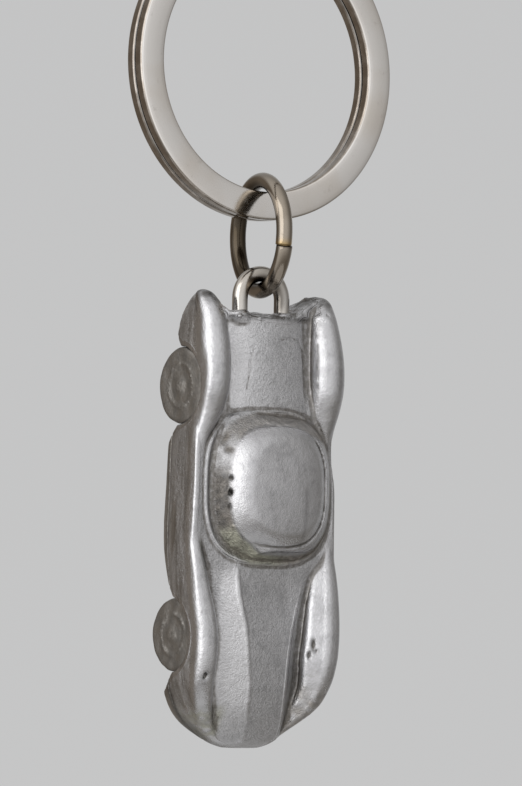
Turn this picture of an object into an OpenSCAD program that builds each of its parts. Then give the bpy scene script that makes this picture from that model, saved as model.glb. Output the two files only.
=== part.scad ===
// Hanging key ring with a small cast sports car, in millimetres.
// The origin is the hang point: the inside top of the split ring. +Z is up and the car's roof faces -Y.
// The car hangs by its tail, so its length runs down -Z. Its left side is +X.

/* [Split ring] */
// outer radius of the flat split ring
ring_r = 15; // [10:0.5:20]
// radial width of the flattened wire
band_w = 2.76; // [1.5:0.02:4]
// thickness of one turn of the wire
turn_t = 1.25; // [0.6:0.01:2]
// daylight between the two turns
turn_gap = 0.1; // [0.05:0.01:0.3]
// corner chamfer of the flattened wire
band_chamfer = 0.26; // [0:0.01:0.5]
// half of the arc in which the wire steps from one turn to the other
step_angle = 12; // [8:1:30]

/* [Jump ring] */
// centreline radius of the round-wire jump ring
jump_r = 5.4; // [4:0.1:8]
// wire diameter of the jump ring
jump_wire = 1.6; // [1:0.05:2.4]
// height of the jump ring's centre
jump_z = -28.72; // [-32:0.01:-26]
// how far the jump ring is twisted from square to the split ring, in degrees
jump_yaw = 10; // [0:1:30]
// height of the cut in the jump ring's wire, above its centre
jump_cut_angle = -14; // [-80:1:80]
// width of the cut in degrees
jump_cut = 1.2; // [0.5:0.1:5]

/* [Eye] */
// centreline radius of the eye's bend
eye_r = 2.5; // [1.8:0.05:3.5]
// wire diameter of the eye
eye_wire = 1.55; // [1:0.05:2]
// height of the eye's uppermost point
eye_top_z = -31.72; // [-34:0.01:-30]
// depth of each leg inside the casting
leg_depth = 3.6; // [2:0.1:8]
// play between a leg and its hole
leg_play = 0.02; // [0:0.01:0.1]

/* [Car] */
// length of the car
car_l = 44.6; // [30:0.1:60]
// height of the fender tips
tail_z = -34.4; // [-40:0.1:-30]
// lean of the hanging car in degrees
lean = 1.2; // [0:0.1:5]
// depth of the tail panel between the fender tips
tail_recess = 2.25; // [1:0.05:4]
// height of the joint between the two castings
seam_h = -3.2; // [-3.5:0.1:-2]
// width of the joint line
seam_gap = 0.06; // [0.02:0.01:0.2]

/* [Cabin] */
// distance from the fender tips to the middle of the cabin
cabin_s = 19.2; // [15:0.1:25]
// half width of the cabin's base
cabin_w = 6.95; // [5:0.1:8]
// half length of the cabin's base
cabin_hl = 7.2; // [5:0.1:10]
// height of the roof's edge
roof_edge_h = 4; // [2.5:0.1:5]
// height of the middle of the roof
roof_top_h = 5.3; // [3:0.1:7]

/* [Wheels] */
// outer radius of the rear wheels
rear_r = 3.77; // [3:0.01:5]
// outer radius of the front wheels
front_r = 3.58; // [3:0.01:5]
// distance from the fender tips to the rear wheels
rear_s = 9.35; // [7:0.05:12]
// distance from the fender tips to the front wheels
front_s = 33.6; // [28:0.05:38]
// height of the rear wheel centres
rear_h = -2.05; // [-4:0.05:0]
// height of the front wheel centres
front_h = -2.75; // [-4:0.05:0]
// distance from the middle of the car to a wheel's outer face
wheel_face = 7.95; // [6:0.05:9]
// thickness of a wheel disc
wheel_t = 1.9; // [1:0.05:3]

/* [Hidden] */
$fn = 64;
ring_z = -(ring_r - band_w);
layer_y = (turn_t + turn_gap) / 2;
ramp_steps = 12;
ramp_inset = 0.01;
eye_bend_z = eye_top_z - eye_wire / 2 - eye_r;
swing_z = jump_z - jump_r;
arch_play = 0.22;
arch_floor = wheel_face - wheel_t - 0.05;
stub_r = 0.8;
stub_l = 1.6;
stations = 46;
deck_steps = 5;
flank_steps = 5;
crown_steps = 6;
side_steps = 6;

// Each row is one cross-section of the car, from the fender tips to the nose:
// distance, half width, crest place, crest height, crease place, crease height, middle height,
// half width of the bottom, height of the bottom.
SECTIONS = [
  [0.0, 6.95, 6.55, 1.00, 6.00, 0.30, 0.20, 5.90, -1.60],
  [0.5, 7.30, 6.60, 1.75, 5.80, 0.90, 0.80, 6.40, -2.70],
  [1.7, 7.75, 6.60, 2.40, 5.20, 1.30, 1.25, 6.80, -3.60],
  [2.9, 8.00, 6.60, 2.95, 4.80, 1.50, 1.45, 7.10, -4.00],
  [5.2, 8.30, 6.62, 3.53, 4.65, 1.70, 1.60, 7.30, -4.10],
  [7.5, 8.50, 6.66, 3.80, 4.60, 1.85, 1.75, 7.40, -4.10],
  [9.9, 8.50, 6.70, 3.68, 4.65, 1.90, 1.85, 7.50, -4.10],
  [12.2, 8.40, 7.00, 2.75, 5.00, 1.80, 1.90, 7.60, -4.10],
  [14.6, 8.25, 7.30, 1.60, 6.00, 1.30, 1.90, 7.70, -4.50],
  [17.0, 8.20, 7.35, 1.30, 6.60, 1.10, 2.00, 7.75, -4.60],
  [22.8, 8.20, 7.35, 1.40, 6.60, 1.10, 2.00, 7.80, -4.90],
  [25.2, 8.20, 7.30, 2.20, 6.10, 1.30, 2.05, 7.75, -5.00],
  [26.8, 8.20, 7.30, 2.55, 5.60, 1.50, 2.10, 7.70, -4.70],
  [28.7, 8.25, 7.30, 2.90, 5.30, 1.60, 2.20, 7.60, -4.20],
  [31.0, 8.35, 7.25, 3.15, 5.00, 1.60, 2.20, 7.50, -3.90],
  [33.4, 8.40, 7.25, 3.25, 4.80, 1.50, 2.10, 7.40, -4.10],
  [35.8, 8.30, 7.00, 3.15, 4.50, 1.35, 1.90, 7.40, -4.60],
  [38.1, 8.00, 6.70, 2.75, 4.20, 1.05, 1.60, 7.40, -5.00],
  [40.5, 7.40, 6.05, 1.75, 3.80, 0.65, 1.20, 7.00, -5.00],
  [41.7, 6.60, 5.20, 0.70, 3.50, 0.20, 0.65, 6.30, -4.80],
  [42.8, 5.30, 4.20, -0.20, 3.00, -0.45, 0.00, 5.10, -4.40],
  [44.0, 3.60, 2.80, -0.95, 2.00, -1.10, -0.85, 3.40, -3.30],
  [44.6, 2.00, 1.40, -1.55, 1.00, -1.60, -1.50, 1.80, -2.60]
];

function column(i) = [for (row = SECTIONS) [row[0], row[i]]];
function at(s, i) = lookup(s, column(i));
// A little averaging along the length takes the corners out of the table.
function eased(s, i) = (at(s - 0.5, i) + 2 * at(s, i) + at(s + 0.5, i)) / 4;
function section(s) = [for (i = [0 : 8]) i == 0 ? s : eased(s, i)];

// Half of a cross-section as [sideways, up], from the middle of the deck round to the middle of the bottom.
function half_outline(q) =
  let (w = q[1], xc = q[2], hc = q[3], xv = q[4], hv = q[5], hm = q[6], wb = q[7], hb = q[8])
  let (hw = hc - 1.15 * (w - xc), corner = min(0.9, (hw - hb) / 2))
  concat(
    [for (i = [0 : deck_steps]) let (t = i / deck_steps) [xv * t, hm + (hv - hm) * t * t]],
    [for (i = [1 : flank_steps]) let (t = i / flank_steps)
      [xv + (xc - xv) * t, hv + (hc - hv) * sin(90 * t)]],
    [for (i = [1 : crown_steps]) let (a = 90 * i / crown_steps)
      [xc + (w - xc) * sin(a), hw + (hc - hw) * cos(a)]],
    [for (i = [1 : side_steps]) let (t = i / side_steps)
      [w - (w - wb) * t * t, hw + (hb + corner - hw) * t]],
    [for (i = [1 : 3]) let (a = 30 * i)
      [wb - corner * (1 - cos(a)), hb + corner * (1 - sin(a))]],
    [[0, hb]]
  );
function mirrored(p) = [for (i = [len(p) - 2 : -1 : 1]) [-p[i][0], p[i][1]]];
function outline(q) = let (h = half_outline(q)) concat(h, mirrored(h));

// Points and faces of a closed skin through equal rings of points.
function ring_faces(m, n) = [
  for (k = [0 : m - 2], i = [0 : n - 1])
    let (a = k * n + i, b = k * n + (i + 1) % n)
    each [[a, b, b + n], [a, b + n, a + n]]
];
function cap(start, n) = [[for (i = [0 : n - 1]) start + i]];
function cap_back(start, n) = [[for (i = [n - 1 : -1 : 0]) start + i]];
module skin(rings) {
  m = len(rings);
  n = len(rings[0]);
  polyhedron(
    points = [for (r = rings) each r],
    faces = concat(ring_faces(m, n), cap_back(0, n), cap((m - 1) * n, n)),
    convexity = 6
  );
}

// Children drawn as sideways, up and along the car are put where the car hangs.
module hung() {
  translate([0, 0, swing_z]) rotate([0, lean, 0]) translate([0, 0, tail_z - swing_z]) children();
}
function placed(p, s) = [for (v = p) [v[0], -v[1], -s]];

// Length positions are closer together at the two rounded ends.
function station(k) = let (t = k / (stations - 1)) car_l * (t - sin(360 * t) / 24);
module car_form() {
  skin([for (k = [0 : stations - 1]) placed(outline(section(station(k))), station(k))]);
}

function loop(a, b, p, n) = [for (i = [0 : n - 1]) let (t = 360 * i / n)
  [a * sign(cos(t)) * pow(abs(cos(t)), 2 / p), b * sign(sin(t)) * pow(abs(sin(t)), 2 / p)]];
function cabin_ring(a, b, up, off) = [for (v = loop(a, b, 2.9, 36)) [v[0], -up, -(cabin_s + off + v[1])]];
module cabin_form() {
  rise = roof_top_h - roof_edge_h;
  roof_a = cabin_w - 0.55;
  roof_b = cabin_hl - 1.1;
  dome = [for (k = [0 : 3]) let (f = [1, 0.82, 0.55, 0.2][k])
    cabin_ring(roof_a * f, roof_b * f, roof_edge_h + 0.15 + rise * (1 - f * f), -0.25)];
  skin(concat(
    [cabin_ring(cabin_w, cabin_hl + 0.1, 0.4, 0),
     cabin_ring(cabin_w, cabin_hl, 1.9, 0),
     cabin_ring(roof_a + 0.12, roof_b + 0.12, roof_edge_h, -0.25)],
    dome
  ));
}

module across(s, h) {
  translate([0, -h, -s]) rotate([0, 90, 0]) children();
}
module wheel_cuts() {
  for (w = [[rear_s, rear_h, rear_r], [front_s, front_h, front_r]], side = [0, 1])
    mirror([side, 0, 0]) across(w[0], w[1]) {
      translate([0, 0, arch_floor]) cylinder(h = 5, r = w[2] + arch_play);
      translate([0, 0, arch_floor - stub_l - 0.1]) cylinder(h = stub_l + 1, r = stub_r + leg_play);
    }
}
// The tail panel lies deep between the fenders, and the way to it widens towards their tips.
module tail_cut() {
  rotate([90, 0, 0]) linear_extrude(height = 20, center = true)
    polygon([[-4.7, -tail_recess], [4.7, -tail_recess], [6.1, 0.1], [6.3, 2], [-6.3, 2], [-6.1, 0.1]]);
}
module leg_holes() {
  for (x = [-eye_r, eye_r])
    translate([x, 0, eye_bend_z - tail_z]) mirror([0, 0, 1])
      cylinder(h = leg_length() + 0.1, r = eye_wire / 2 + leg_play);
}
function leg_length() = eye_bend_z - tail_z + tail_recess + leg_depth;

module band_profile() {
  a = ring_r - band_w;
  b = ring_r;
  c = band_chamfer;
  t = turn_t / 2;
  polygon([[a + c, -t], [b - c, -t], [b, c - t], [b, t - c], [b - c, t], [a + c, t], [a, t - c], [a, c - t]]);
}
// The step is a hair slimmer than the turns that its ends run into.
function band_points() =
  let (a = ring_r - band_w + ramp_inset, b = ring_r - ramp_inset, c = band_chamfer, t = turn_t / 2 - ramp_inset)
  [[a + c, -t], [b - c, -t], [b, c - t], [b, t - c], [b - c, t], [a + c, t], [a, t - c], [a, c - t]];
// One step of the wire: the profile stood at an angle from the top, shifted along Y.
function band_at(angle, y) = [for (p = band_points()) [p[0] * sin(angle), y + p[1], p[0] * cos(angle)]];
function ease(t) = t * t * (3 - 2 * t);

module split_ring() {
  color([0.62, 0.6, 0.57]) translate([0, 0, ring_z]) {
    for (side = [-1, 1])
      translate([0, side * layer_y, 0]) rotate([90, 0, 0]) rotate([0, 0, 90 + step_angle])
        rotate_extrude(angle = 360 - 2 * step_angle) band_profile();
    skin([for (k = [-1 : ramp_steps + 1]) let (t = k / ramp_steps, rise = ease(min(1, max(0, t))))
      band_at(-step_angle + 2 * step_angle * t, layer_y * (1 - 2 * rise))]);
  }
}

module jump_ring() {
  color([0.6, 0.58, 0.55]) translate([0, 0, jump_z]) rotate([0, 0, -jump_yaw]) rotate([90, 0, 90])
    rotate([0, 0, 180 - jump_cut_angle + jump_cut / 2])
      rotate_extrude(angle = 360 - jump_cut) translate([jump_r, 0]) circle(d = jump_wire);
}

module eye_staple() {
  color([0.62, 0.6, 0.56]) hung() {
    translate([0, 0, eye_bend_z - tail_z]) rotate([90, 0, 0])
      rotate_extrude(angle = 180) translate([eye_r, 0]) circle(d = eye_wire);
    for (x = [-eye_r, eye_r])
      translate([x, 0, eye_bend_z - tail_z]) mirror([0, 0, 1]) cylinder(h = leg_length(), d = eye_wire);
  }
}

module body_casting() {
  color([0.62, 0.62, 0.64]) hung() difference() {
    union() {
      intersection() {
        car_form();
        translate([-15, -15, -50]) cube([30, 15 - seam_h, 60]);
      }
      cabin_form();
    }
    wheel_cuts();
    tail_cut();
    leg_holes();
  }
}

module floor_pan() {
  color([0.52, 0.51, 0.5]) hung() difference() {
    intersection() {
      car_form();
      translate([-15, seam_gap - seam_h, -50]) cube([30, 15, 60]);
    }
    wheel_cuts();
    tail_cut();
  }
}

module wheel_disc(r) {
  rotate_extrude()
    polygon([[0, -stub_l], [stub_r, -stub_l], [stub_r, 0], [r, 0], [r, wheel_t - 0.15], [r - 0.15, wheel_t],
             [0.66 * r, wheel_t], [0.6 * r, wheel_t + 0.15], [0.5 * r, wheel_t + 0.15], [0.45 * r, wheel_t - 0.1],
             [0.24 * r, wheel_t - 0.05], [0.18 * r, wheel_t + 0.2], [0, wheel_t + 0.3]]);
}
module wheel(s, h, r, side) {
  color([0.45, 0.44, 0.42]) hung() mirror([side < 0 ? 1 : 0, 0, 0])
    across(s, h) translate([0, 0, wheel_face - wheel_t]) wheel_disc(r);
}
module wheel_rear_left() { wheel(rear_s, rear_h, rear_r, 1); }
module wheel_rear_right() { wheel(rear_s, rear_h, rear_r, -1); }
module wheel_front_left() { wheel(front_s, front_h, front_r, 1); }
module wheel_front_right() { wheel(front_s, front_h, front_r, -1); }

split_ring();
jump_ring();
eye_staple();
body_casting();
floor_pan();
wheel_rear_left();
wheel_rear_right();
wheel_front_left();
wheel_front_right();
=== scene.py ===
import math

import bpy
import numpy as np
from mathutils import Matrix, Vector


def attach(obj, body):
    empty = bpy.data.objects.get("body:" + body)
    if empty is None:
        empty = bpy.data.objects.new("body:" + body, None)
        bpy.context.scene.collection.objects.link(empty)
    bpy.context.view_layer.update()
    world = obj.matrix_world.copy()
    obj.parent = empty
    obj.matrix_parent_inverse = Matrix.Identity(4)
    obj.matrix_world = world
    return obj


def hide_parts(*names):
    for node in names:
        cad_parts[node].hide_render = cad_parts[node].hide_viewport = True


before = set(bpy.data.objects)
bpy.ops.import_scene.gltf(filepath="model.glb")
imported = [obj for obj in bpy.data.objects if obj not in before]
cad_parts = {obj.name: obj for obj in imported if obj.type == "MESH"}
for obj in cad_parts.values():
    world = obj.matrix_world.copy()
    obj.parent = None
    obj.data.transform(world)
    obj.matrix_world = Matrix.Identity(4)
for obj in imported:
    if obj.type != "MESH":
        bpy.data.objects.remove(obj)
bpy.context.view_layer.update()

MM = 0.001

# ---------------------------------------------------------------- sizes, in millimetres, as in the CAD
RING_R, BAND_W, TURN_T, TURN_GAP, STEP = 15.0, 2.76, 1.25, 0.1, 12.0
JUMP_R, JUMP_WIRE, JUMP_Z, JUMP_YAW = 5.4, 1.6, -28.72, 10.0
EYE_R, EYE_WIRE, EYE_TOP, LEG_IN = 2.5, 1.55, -31.72, 3.4
CAR_L, TAIL_Z, LEAN, SEAM_H = 44.6, -34.4, 1.2, -3.2
SWING_Z = JUMP_Z - JUMP_R
REAR = (9.35, -2.05, 3.77)
FRONT = (33.6, -2.75, 3.58)
WHEEL_FACE, WHEEL_T = 7.95, 1.9

# Cross-sections of the car: distance from the fender tips, then the fender's place sideways, its height and
# its radius, the width of its flat top, how far its inner flank goes down, the half width of the body's side
# at the top and at the bottom, and the height of its bottom.
SIDES = np.array([
    [-1.0, 7.05, -0.35, 0.50, 0.0, 0.1, 6.90, 6.10, -1.20],
    [0.0, 6.98, 0.05, 0.82, 0.0, 0.1, 7.20, 6.30, -2.00],
    [0.7, 6.88, 0.45, 1.08, 0.0, 0.1, 7.50, 6.50, -2.80],
    [1.7, 6.74, 1.00, 1.25, 0.0, 0.1, 7.80, 6.80, -3.60],
    [2.9, 6.72, 1.42, 1.35, 0.0, 0.1, 8.00, 7.10, -4.00],
    [5.2, 6.75, 1.82, 1.58, 0.0, 0.1, 8.25, 7.35, -4.15],
    [7.5, 6.80, 1.97, 1.70, 0.0, 0.1, 8.42, 7.50, -4.20],
    [9.9, 6.82, 1.86, 1.66, 0.0, 0.1, 8.42, 7.60, -4.20],
    [12.2, 6.95, 1.28, 1.33, 0.1, 0.2, 8.32, 7.70, -4.25],
    [14.6, 7.40, 0.90, 0.80, 0.1, 0.3, 8.22, 7.80, -4.60],
    [17.0, 7.70, 0.98, 0.48, 0.0, 0.3, 8.20, 7.85, -4.70],
    [22.8, 7.70, 1.02, 0.48, 0.0, 0.3, 8.20, 7.90, -5.00],
    [25.2, 7.50, 1.24, 0.58, 0.2, 0.5, 8.18, 7.85, -5.00],
    [26.8, 7.40, 1.60, 0.70, 0.3, 0.5, 8.20, 7.75, -4.75],
    [28.7, 7.28, 2.00, 0.82, 0.35, 0.6, 8.25, 7.60, -4.25],
    [31.0, 7.18, 2.25, 0.92, 0.4, 0.7, 8.30, 7.50, -3.90],
    [33.4, 7.14, 2.32, 0.98, 0.4, 0.75, 8.32, 7.45, -4.10],
    [35.8, 7.05, 2.22, 0.98, 0.4, 0.85, 8.22, 7.60, -4.70],
    [38.1, 6.87, 1.72, 0.92, 0.35, 0.6, 7.98, 7.95, -5.05],
    [40.5, 6.35, 0.65, 0.80, 0.3, 0.6, 7.25, 7.15, -5.05],
    [41.7, 5.60, -0.35, 0.72, 0.2, 0.8, 6.50, 6.50, -4.85],
    [42.8, 4.65, -1.40, 0.65, 0.1, 0.6, 5.35, 5.40, -4.45],
    [44.0, 3.20, -2.20, 0.55, 0.0, 0.5, 3.65, 3.70, -3.40],
    [45.4, 1.20, -2.60, 0.40, 0.0, 0.5, 1.60, 1.60, -2.70],
])
# The deck and bonnet: distance, height of the middle, its crown, where the hump's steep edge is on the car's
# left and how far it drops, where the ridge is on its right and how steeply the bonnet falls away beyond it.
DECK = np.array([
    [-1.0, 1.25, 0.035, 5.8, 0.00, -2.6, 0.00],
    [2.0, 1.52, 0.054, 5.8, 0.00, -2.6, 0.00],
    [5.0, 1.78, 0.056, 5.8, 0.00, -2.6, 0.00],
    [9.0, 1.92, 0.054, 5.8, 0.00, -2.6, 0.00],
    [12.0, 1.95, 0.028, 5.8, 0.00, -2.6, 0.00],
    [15.0, 1.90, 0.010, 5.8, 0.00, -3.0, 0.00],
    [23.0, 1.90, 0.008, 5.0, 0.00, -3.4, 0.00],
    [26.0, 2.12, 0.006, 4.7, 0.05, -3.6, 0.08],
    [28.0, 2.26, 0.005, 4.5, 0.25, -3.7, 0.38],
    [30.0, 2.34, 0.004, 4.1, 0.40, -3.5, 0.50],
    [33.0, 2.30, 0.004, 3.2, 0.62, -2.6, 0.37],
    [36.0, 2.05, 0.004, 2.9, 0.75, -2.15, 0.29],
    [39.0, 1.60, 0.005, 2.9, 0.85, -1.65, 0.28],
    [41.0, 1.10, 0.008, 3.05, 0.85, -1.6, 0.25],
    [42.5, 0.45, 0.015, 3.3, 1.00, -1.0, 0.22],
    [43.6, -0.35, 0.030, 3.4, 0.60, -1.0, 0.16],
    [45.4, -2.00, 0.050, 3.4, 0.30, -1.0, 0.10],
])
CABIN_S, CABIN_W, CABIN_L = 19.15, 7.15, 7.25
ROOF_X, ROOF_S, ROOF_W, ROOF_L = 0.15, 19.15, 5.6, 5.98
ROOF_TOP, ROOF_EDGE = 4.95, 3.85
DECK_TILT = 0.14
# How far out the hollowed flank of the right rear fender is, against the distance.
HOLLOW = np.array([
    [-1.0, 9.5], [3.2, 9.0], [5.1, 8.55], [7.3, 8.18], [9.7, 8.2], [12.2, 8.1], [14.2, 8.6], [45.8, 9.5],
])
# How much further out the belt and fenders stand, against the distance: on the car's right and on its left.
BULGE = np.array([
    [-1.0, 0, 0], [12.0, 0, 0], [14.5, 0.25, -0.55], [16.2, 0.4, -0.5], [19.0, 0.4, 0], [24.0, 0.7, 0],
    [29.0, 0.85, 0], [33.5, 0.2, 0], [38.5, 0.45, 0], [41.0, 0.2, -0.1], [42.4, 0.05, -0.5],
    [45.8, -0.4, -0.3],
])
# The tail: where its panel is, and half the gap between the two fenders, against the distance.
PANEL_S = 2.5
TAIL_GAP = np.array([[-1.0, 6.6], [0.3, 6.05], [1.2, 4.7], [2.3, 3.4], [2.6, 2.6]])
# Lumps along the deck's broken edge above the panel: place sideways, up and along, and size.
LUMPS = [
    (-3.3, 1.25, 2.45, 0.3), (-1.0, 1.45, 2.5, 0.2), (0.6, 1.45, 2.5, 0.16),
    (2.1, 1.35, 2.45, 0.3), (2.9, 1.3, 2.4, 0.22), (4.4, 1.0, 2.0, 0.35),
]
# Two shallow lines on the deck: their points sideways and along, and their depth.
DECK_LINES = [
    ([(-1.75, 5.5), (-2.0, 7.6), (-2.45, 9.6)], 0.056),
    ([(1.3, 4.6), (2.6, 4.3), (3.5, 4.6), (4.05, 5.6), (4.3, 7.2), (4.35, 9.2)], 0.062),
]
# Casting flaws: place sideways, up and along, and the size in the same directions.
PITS = [
    (-7.62, 2.75, 37.6, 0.20, 0.45, 0.40), (5.36, 2.42, 34.4, 0.16, 0.34, 0.60),
    (5.05, 2.18, 35.4, 0.17, 0.34, 0.40), (5.62, 2.60, 35.0, 0.12, 0.24, 0.18),
    (-5.38, 3.30, 18.4, 0.13, 0.45, 0.26), (-5.42, 3.25, 19.8, 0.18, 0.55, 0.36),
    (-5.44, 3.30, 21.2, 0.12, 0.45, 0.30), (-8.10, -1.90, 23.2, 0.10, 0.14, 0.60),
]


# ---------------------------------------------------------------- small numeric helpers
def smooth_rows(table, at, width=0.7):
    """The table's columns at the given distances, with the corners between its rows rounded off."""
    step = 0.05
    fine = np.arange(table[0, 0] - 3, table[-1, 0] + 3, step)
    k = np.arange(-3 * width, 3 * width + step / 2, step)
    w = np.exp(-0.5 * (k / width) ** 2)
    w /= w.sum()
    out = []
    for i in range(1, table.shape[1]):
        s, v = table[:, 0], table[:, i]
        lead = v[0] + (v[1] - v[0]) / (s[1] - s[0]) * (fine - s[0])
        tail = v[-1] + (v[-1] - v[-2]) / (s[-1] - s[-2]) * (fine - s[-1])
        col = np.where(fine < s[0], lead, np.where(fine > s[-1], tail, np.interp(fine, s, v)))
        col = np.pad(col, len(k) // 2, mode="edge")
        out.append(np.interp(at, fine, np.convolve(col, w, "valid")[:len(fine)]))
    return out


def smax(a, b, k):
    """The larger of two, with the change from one to the other rounded off over k."""
    h = np.clip(0.5 + 0.5 * (a - b) / k, 0, 1)
    return b + (a - b) * h + k * h * (1 - h)


def smin(a, b, k):
    return -smax(-a, -b, k)


def sstep(a, b, x):
    """0 at a, 1 at b, with a smooth change between them."""
    t = np.clip((x - a) / (b - a), 0, 1)
    return t * t * (3 - 2 * t)


def bump(d, width):
    """1 where d is 0, falling off smoothly over the width."""
    return np.exp(-(d / width) ** 2)


def lump_noise(shape, cell, seed):
    """Smooth random field on a grid: a coarse random grid, interpolated."""
    rng = np.random.default_rng(seed)
    out = rng.standard_normal([int(math.ceil(n / cell)) + 3 for n in shape])
    for axis, n in enumerate(shape):
        pos = np.arange(n) / cell + 0.5
        i = pos.astype(int)
        f = pos - i
        f = (f * f * (3 - 2 * f)).reshape([-1 if a == axis else 1 for a in range(out.ndim)])
        out = np.take(out, i, axis) * (1 - f) + np.take(out, i + 1, axis) * f
    return out


def segment_distance(x, s, points):
    """Distance in the plan of the car from a line through the points."""
    best = np.full(np.broadcast(x, s).shape, 1e9)
    for (ax, ay), (bx, by) in zip(points, points[1:]):
        dx, dy = bx - ax, by - ay
        t = np.clip(((x - ax) * dx + (s - ay) * dy) / (dx * dx + dy * dy), 0, 1)
        best = np.minimum(best, np.hypot(x - ax - t * dx, s - ay - t * dy))
    return best


def sample(grid, p):
    """Trilinear samples of a grid at points given in cells."""
    p = np.clip(p, 0, np.array(grid.shape) - 1.001)
    i = p.astype(int)
    f = p - i
    out = 0
    for dx in (0, 1):
        for dy in (0, 1):
            for dz in (0, 1):
                w = (f[:, 0] if dx else 1 - f[:, 0]) * (f[:, 1] if dy else 1 - f[:, 1]) \
                    * (f[:, 2] if dz else 1 - f[:, 2])
                out = out + w * grid[i[:, 0] + dx, i[:, 1] + dy, i[:, 2] + dz]
    return out


def surface_net(f):
    """Quads round the zero level of a grid of signed distances: points in cells, and faces."""
    inside = f < 0
    n = np.array(f.shape) - 1
    total = np.zeros(n)
    place = np.zeros((*n, 3))
    corners = [(a, b, c) for a in (0, 1) for b in (0, 1) for c in (0, 1)]

    def part(g, c):
        return g[c[0]:c[0] + n[0], c[1]:c[1] + n[1], c[2]:c[2] + n[2]]
    for a in corners:
        for axis in range(3):
            if a[axis]:
                continue
            b = tuple(1 if k == axis else a[k] for k in range(3))
            fa, fb = part(f, a), part(f, b)
            cross = part(inside, a) != part(inside, b)
            t = np.where(cross, fa / np.where(cross, fa - fb, 1), 0)
            total += cross
            for k in range(3):
                place[..., k] += np.where(cross, a[k] + (t if k == axis else 0), 0)
    used = total > 0
    index = np.full(n, -1)
    index[used] = np.arange(used.sum())
    points = place[used] / total[used][:, None] + np.argwhere(used)
    faces = []
    for axis in range(3):
        u, v = [(1, 2), (2, 0), (0, 1)][axis]
        lo = [slice(None)] * 3
        hi = [slice(None)] * 3
        lo[axis], hi[axis] = slice(0, -1), slice(1, None)
        for k in (u, v):
            lo[k] = hi[k] = slice(1, -1)
        a, b = inside[tuple(lo)], inside[tuple(hi)]
        cells = np.argwhere(a != b)
        flip = b[a != b]
        cells[:, u] += 1
        cells[:, v] += 1
        ring = []
        for du, dv in ((0, 0), (-1, 0), (-1, -1), (0, -1)):
            c = cells.copy()
            c[:, u] += du
            c[:, v] += dv
            ring.append(index[c[:, 0], c[:, 1], c[:, 2]])
        q = np.stack(ring, 1)
        q[flip] = q[flip][:, ::-1]
        faces.append(q)
    return points, np.concatenate(faces)


def make_object(name, points, faces, smooth=True):
    mesh = bpy.data.meshes.new(name)
    mesh.from_pydata([tuple(p) for p in points], [], [tuple(int(i) for i in f) for f in faces])
    mesh.update()
    mesh.polygons.foreach_set("use_smooth", [smooth] * len(mesh.polygons))
    obj = bpy.data.objects.new(name, mesh)
    bpy.context.scene.collection.objects.link(obj)
    return obj


def write_attribute(obj, name, values):
    layer = obj.data.attributes.new(name, "FLOAT", "POINT")
    layer.data.foreach_set("value", np.asarray(values, dtype=np.float32))


def leaned(x, z, pivot):
    """The place of (x, z) once the car leans about the point on the jump ring that it hangs from."""
    a = math.radians(LEAN)
    z = z - pivot
    return x * math.cos(a) + z * math.sin(a), -x * math.sin(a) + z * math.cos(a) + pivot


def hang(points):
    """Car coordinates (sideways, up, along, in mm) to metres in the shared frame."""
    x, z = leaned(points[:, 0], TAIL_Z - points[:, 2], SWING_Z)
    return np.stack([x, -points[:, 1], z], 1) * MM


# ---------------------------------------------------------------- the car's form
# The grid: the size of a cell, and the places sideways, up and along.
CELL = 0.17
AX = np.arange(-9.35, 9.36, CELL)
AH = np.arange(-5.7, 6.0, CELL)
AS = np.arange(-1.0, 45.8, CELL)
X = AX[:, None, None]
H = AH[None, :, None]
S = AS[None, None, :]


def deck_height():
    """The height of the deck, cowl and bonnet over the plan, before the fenders and the cabin."""
    x, s = AX[:, None], AS[None, :]
    mid, crown, edge, drop, ridge, slope = [c[None, :] for c in smooth_rows(DECK, AS)]
    h = mid - crown * np.minimum(x ** 2, 18) + DECK_TILT * np.clip(x, -4.2, 4.2) * sstep(15.0, 10.0, s)
    h -= drop * (1 - (1 - np.clip((x - edge) / 2.1, 0, 1)) ** 2)
    h -= 1.2 * slope * smax(ridge - x, 0 * x, 0.3) + 0.25 * slope * np.clip(x - ridge, 0, 6)
    for points, depth in DECK_LINES:
        h -= depth * bump(segment_distance(x, s, points), 0.12)
    # A low bead round the foot of the cabin, with a groove outside it.
    r = superellipse(x / (CABIN_W + 0.15), (s - CABIN_S) / (CABIN_L + 0.1), 2.9)
    h += 0.16 * bump((r - 1) * 7.2, 0.2)
    h -= 0.03 * bump((r - 1.055) * 7.2, 0.18)
    return h


def superellipse(a, b, p):
    """1 on the outline of a rounded rectangle, less inside it and more outside."""
    return (np.abs(a) ** p + np.abs(b) ** p) ** (1 / p)


def steepness(height):
    """What to divide a height above the height map by, to get about the distance from its surface."""
    gx, gs = np.gradient(height, CELL)
    return np.sqrt(1 + gx ** 2 + gs ** 2)[:, None, :]


def pit(x0, h0, s0, a, b, c):
    """About the distance to an ellipsoid."""
    return (np.sqrt(((X - x0) / a) ** 2 + ((H - h0) / b) ** 2 + ((S - s0) / c) ** 2) - 1) * min(a, b, c)


def frame_lip():
    """Where the roof has a raised frame: along the car's left side and the front."""
    x, s = AX[:, None], AS[None, :]
    return sstep(-0.25, 0.35, x / ROOF_W + 0.7 * (s - ROOF_S) / ROOF_L - 0.25)


def capsule(ax, ah, bx, bh):
    """Distance to a segment of the cross-section, on both sides of the car."""
    x = np.abs(X)
    dx, dh = bx - ax, bh - ah
    t = np.clip(((x - ax) * dx + (H - ah) * dh) / np.maximum(dx * dx + dh * dh, 1e-6), 0, 1)
    return np.hypot(x - ax - t * dx, H - ah - t * dh)


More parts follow.
